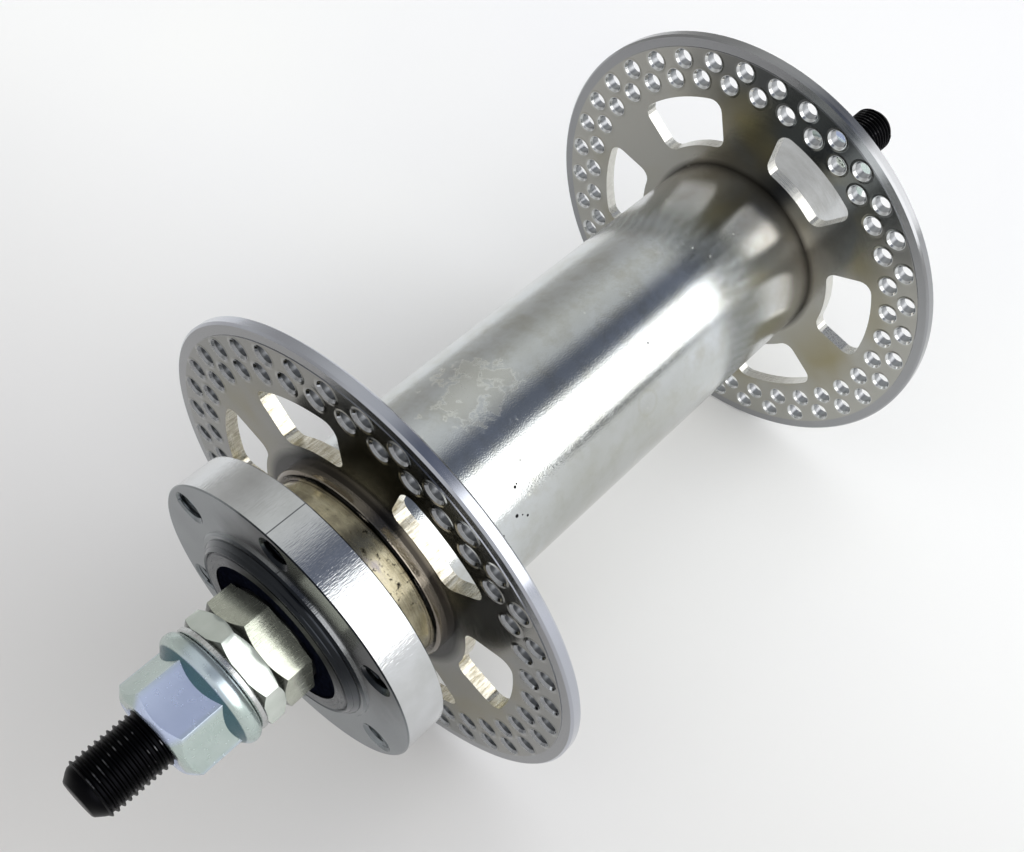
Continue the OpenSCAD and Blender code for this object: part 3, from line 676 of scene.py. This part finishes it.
def soften(bm, width, limit=25.0, segments=2, keep=None):
    """rounds the sharp edges by a small bevel"""
    sharp = [e for e in bm.edges if len(e.link_faces) == 2
             and e.calc_face_angle(0.0) > math.radians(limit) and (keep is None or keep(e))]
    bmesh.ops.bevel(bm, geom=sharp, offset=width * MM, affect="EDGES", segments=segments,
                    profile=0.5, material=-1, clamp_overlap=True)


def cut_flats(bm, across, corner_turn):
    """cuts six flats round the axis, with a corner at corner_turn from +X towards +Z"""
    for k in range(6):
        a = math.radians(corner_turn + 30 + 60 * k)
        out = Vector((math.cos(a), 0, math.sin(a)))
        cut = bmesh.ops.bisect_plane(
            bm, geom=bm.verts[:] + bm.edges[:] + bm.faces[:], dist=0.0001 * MM,
            plane_co=out * across / 2 * MM, plane_no=out, clear_outer=True)
        rim = [e for e in cut["geom_cut"] if isinstance(e, bmesh.types.BMEdge)]
        bmesh.ops.contextual_create(bm, geom=rim)
    bmesh.ops.recalc_face_normals(bm, faces=bm.faces[:])


def finish_piece(name, bm, body, nodes, material, sharp=30.0):
    """makes the shape an object that moves with its body and stands for its nodes"""
    mesh = bpy.data.meshes.new(name)
    bm.to_mesh(mesh)
    bm.free()
    mesh.polygons.foreach_set("use_smooth", [True] * len(mesh.polygons))
    mesh.set_sharp_from_angle(angle=math.radians(sharp))
    mesh.materials.append(material)
    piece = bpy.data.objects.new(name, mesh)
    bpy.context.scene.collection.objects.link(piece)
    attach(piece, body)
    if nodes:
        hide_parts(*nodes)
    return piece


# The pieces


def span(node):
    """a CAD node's lowest and highest place along the axis"""
    low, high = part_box(node)
    return round(low.y / MM, 3), round(high.y / MM, 3)


def make_pair(shape, name, body, node, material):
    """makes a left piece and its mirror image on the right; {} in body stands for the side"""
    for side in ("left", "right"):
        bm = shape()
        if side == "right":
            bmesh.ops.scale(bm, vec=(1, -1, 1), verts=bm.verts[:])
            bmesh.ops.reverse_faces(bm, faces=bm.faces[:])
        finish_piece(f"{side}_{name}", bm, body.format(side), [f"{side}_{node}"], material)


def make_tube(material):
    """the barrel tube, with softened ends"""
    bore_r, bevel = 16.5, 0.5
    low, high = span("barrel_tube")
    bm = bmesh.new()
    turn_profile(bm, [
        (bore_r, low), (TUBE_R - bevel, low), (TUBE_R, low + bevel),
        (TUBE_R, high - bevel), (TUBE_R - bevel, high), (bore_r, high)], steps=256)
    soften(bm, 0.12)
    finish_piece("chromed_barrel_tube", bm, "hub", ["barrel_tube"], material)


def sleeve_shape():
    """a bearing sleeve: a bevelled end ring with one fine turned line"""
    bore_r, outer_r, seat_r, seat_depth = 13.0, 16.5, 15.0, 9.0
    low, high = span("left_bearing_sleeve")
    bm = bmesh.new()
    turn_profile(bm, [
        (bore_r, low), (outer_r, low), (outer_r, high - 1.1),
        (15.90, high - 0.55), (15.86, high - 0.60), (15.80, high - 0.55), (15.78, high - 0.44),
        (15.3, high), (seat_r, high - 0.3),
        (seat_r, high - seat_depth), (bore_r, high - seat_depth)], steps=224)
    soften(bm, 0.04, segments=1)
    return bm


def lock_nut_shape():
    """a lock nut: flats cut from a blank that is chamfered at both ends"""
    chamfer = 0.75
    low, high = span("left_lock_nut")
    bm = bmesh.new()
    turn_profile(bm, [
        (CREST_R, low + MOUTH), (CREST_R + MOUTH, low),
        (HEX_FACE_R, low), (HEX_CORNER_R, low + chamfer),
        (HEX_CORNER_R, high - chamfer), (HEX_FACE_R, high),
        (CREST_R + MOUTH, high), (CREST_R, high - MOUTH)])
    cut_flats(bm, HEX_ACROSS, LOCK_NUT_TURN)
    soften(bm, 0.12)
    return bm


def cone_nut_shape():
    """a cone nut: a shoulder towards the bearing, a chamfer on the outer end"""
    chamfer, shoulder_r, shoulder_h, overlap = 0.8, 7.9, 0.3, 0.05
    low, high = span("left_cone_nut")
    step = low + shoulder_h
    bm = bmesh.new()
    turn_profile(bm, [
        (CREST_R, step), (HEX_CORNER_R, step), (HEX_CORNER_R, high - chamfer),
        (HEX_FACE_R, high), (CREST_R + MOUTH, high), (CREST_R, high - MOUTH)])
    cut_flats(bm, HEX_ACROSS, CONE_NUT_TURN)
    soften(bm, 0.12)
    turn_profile(bm, [
        (CREST_R, low), (shoulder_r, low), (shoulder_r, step + overlap),
        (CREST_R, step + overlap)])
    return bm


def washer_shape():
    """a washer: fine teeth on both faces, inside a plain bevelled rim"""
    outer_r, bevel, teeth = 9.3, 0.25, 60
    low, high = span("left_washer")
    bm = bmesh.new()
    turn_profile(bm, [
        (LOOSE_R, low), (outer_r - bevel, low), (outer_r, low + bevel),
        (outer_r, high - bevel), (outer_r - bevel, high), (LOOSE_R, high)], steps=2 * teeth)
    bm.normal_update()
    for end in (1, -1):
        face = [f for f in bm.faces if f.normal.y * end > 0.99]
        face.sort(key=lambda f: math.atan2(f.calc_center_median().z, f.calc_center_median().x))
        bmesh.ops.inset_individual(bm, faces=face[::2], thickness=0.06 * MM, depth=-0.08 * MM)
    soften(bm, 0.05, limit=40.0, segments=2,
           keep=lambda e: min(v.co.xz.length for v in e.verts) > 9.0 * MM)
    return bm


def axle_nut_shape():
    """a flanged axle nut: a chamfered hexagon whose flats run out on the flange's cone"""
    across, corner_r, lip_r, lip_round = 15.0, 8.70, 8.4, 1.5
    low, high = span("left_axle_nut")
    bm = bmesh.new()
    turn_profile(bm, [
        (LOOSE_R, low + 1.4), (corner_r, low + 1.4), (corner_r, high - 1.5),
        (7.15, high - 0.25), (6.7, high), (LOOSE_R + MOUTH, high), (LOOSE_R, high - MOUTH)])
    cut_flats(bm, across, AXLE_NUT_TURN)
    soften(bm, 0.2, segments=3)
    lip = arc(lip_r, low + lip_round, lip_round, -90, 62, 14)
    turn_profile(bm, [(LOOSE_R, low + MOUTH), (LOOSE_R + MOUTH, low)] + lip + [
        (7.25, low + 4.35), (LOOSE_R, low + 4.35)])
    return bm


def make_axle(material):
    """the axle: a plain shank, and at each end a rolled right-hand thread, run out at the tip"""
    shank_r, axis_r, sink_painted_highlight = 4.40, 0.02, 0.02
    start, tip = 50.0, span("axle")[1]
    bm = bmesh.new()
    # core: shank between the threads, thread roots, coned and rounded tips
    half = [(shank_r, start), (ROOT_R + sink_painted_highlight, start + 0.4), (ROOT_R + sink_painted_highlight, tip - 1.6),
            (4.0, tip - 1.1), (3.2, tip - 0.14), (2.9, tip)]
    other = [(r, -y) for r, y in reversed(half)]
    turn_profile(bm, [(axis_r, tip), (axis_r, -tip)] + other + half, steps=72)
    # one turn of the ridge, then the same turn again one pitch further along
    ridge = [
        (ROOT_R - sink_painted_highlight, start + 0.35), (CREST_R - 0.03, start + 0.57), (CREST_R, start + 0.61),
        (CREST_R, start + 0.73), (CREST_R - 0.03, start + 0.77), (ROOT_R - sink_painted_highlight, start + 0.99)]
    for end in (1, -1):
        added = wind_thread(bm, ridge, THREAD_PITCH, turns=49, steps=48)
        if end == -1:
            bmesh.ops.rotate(bm, verts=added, cent=(0, 0, 0),
                             matrix=Matrix.Rotation(math.pi, 3, "Z"))
        # the first turn rises from the shank, and the tip's cone cuts the last turns
        for v in added:
            far = abs(v.co.y) / MM
            reach = v.co.xz.length / MM
            rise = ROOT_R + 0.05 + (far - start - 0.3) * 0.25
            fall = CREST_R + 0.1 - (far - tip + 2.0) * 0.95
            limit = min(CREST_R, rise, fall)
            if reach > limit:
                v.co.x *= limit / reach
                v.co.z *= limit / reach
    bmesh.ops.recalc_face_normals(bm, faces=bm.faces[:])
    finish_piece("threaded_axle", bm, "axle", ["axle"], material, sharp=40.0)


def make_bolt_threads(material):
    """the fine thread in each disc bolt's hole"""
    root_r, crest_r = 2.52, 2.16
    back = span("disc_mount")[0]
    bm = bmesh.new()
    ridge = [(root_r, back + 0.2), (crest_r, back + 0.47), (crest_r, back + 0.6),
             (root_r, back + 0.9)]
    wind_thread(bm, ridge, BOLT_PITCH, turns=8, steps=24)
    turn = math.radians(BOLT_TURN)
    middle = Vector((math.cos(turn), 0, math.sin(turn))) * BOLT_RING_R * MM
    bmesh.ops.translate(bm, verts=bm.verts[:], vec=middle)
    bmesh.ops.spin(bm, geom=bm.verts[:] + bm.edges[:] + bm.faces[:], axis=(0, 1, 0),
                   cent=(0, 0, 0), angle=math.tau * (BOLTS - 1) / BOLTS, steps=BOLTS - 1,
                   use_duplicate=True)
    bmesh.ops.recalc_face_normals(bm, faces=bm.faces[:])
    finish_piece("disc_bolt_threads", bm, "hub", [], material)


def make_floor(material):
    """a wide sheet of paper under the flanges' rims"""
    bm = bmesh.new()
    bmesh.ops.create_circle(bm, cap_ends=True, segments=64, radius=12.0,
                            matrix=Matrix.Translation((0, 0, -FLANGE_R * MM)))
    mesh = bpy.data.meshes.new("paper_floor")
    bm.to_mesh(mesh)
    bm.free()
    mesh.materials.append(material)
    floor = bpy.data.objects.new("paper_floor", mesh)
    bpy.context.scene.collection.objects.link(floor)


def dress(material, *nodes):
    """gives CAD nodes whose shape is right their material"""
    for name in nodes:
        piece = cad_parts[name]
        for slot in piece.material_slots:
            slot.material = material


place_camera()
light_studio()
bpy.context.scene.view_settings.view_transform = "Standard"

make_floor(make_floor_paper())

zinc_mount = make_disc_mount()
bright_nut = make_ground_steel("bright_plated_steel", "#d0d8cf", "#dde4dc", 0.12, 0.2, 0.003,
                               ends="#50524c")
race_steel = make_ground_steel("ground_bearing_steel", "#43464a", "#54575b", 0.2, 0.32, 0.006,
                               paint_dark_reflection=True)
hidden_steel = make_ground_steel("turned_mild_steel", "#8d9093", "#a3a6a8", 0.3, 0.42, 0.01)
ball_steel = make_ground_steel("polished_ball_steel", "#c6c9cc", "#d6d9dc", 0.05, 0.09, 0.0005)

make_tube(make_chromed_tube())
make_pair(sleeve_shape, "turned_sleeve", "hub", "bearing_sleeve", make_sleeve())
make_pair(lock_nut_shape, "hex_lock_nut", "axle", "lock_nut", bright_nut)
make_pair(cone_nut_shape, "hex_cone_nut", "axle", "cone_nut", make_brushed_nut())
make_pair(washer_shape, "serrated_washer", "{}_washer", "washer", make_washer())
make_pair(axle_nut_shape, "flanged_nut", "{}_nut", "axle_nut", make_zinc_nut())
make_axle(make_black_oxide())
make_bolt_threads(zinc_mount)

dress(make_nickel_flange(), "left_flange", "right_flange")
dress(zinc_mount, "disc_mount")
dress(race_steel, "left_outer_race", "right_outer_race", "left_inner_race", "right_inner_race")
dress(make_seal_rubber(), "left_outer_seal", "right_outer_seal", "left_inner_seal",
      "right_inner_seal")
dress(ball_steel, "left_balls", "right_balls")
dress(hidden_steel, "left_cage", "right_cage", "bearing_spacer")


def plain(box):
    """a box's corners as plain lists of numbers"""
    return [[float(value) for value in corner] for corner in box]
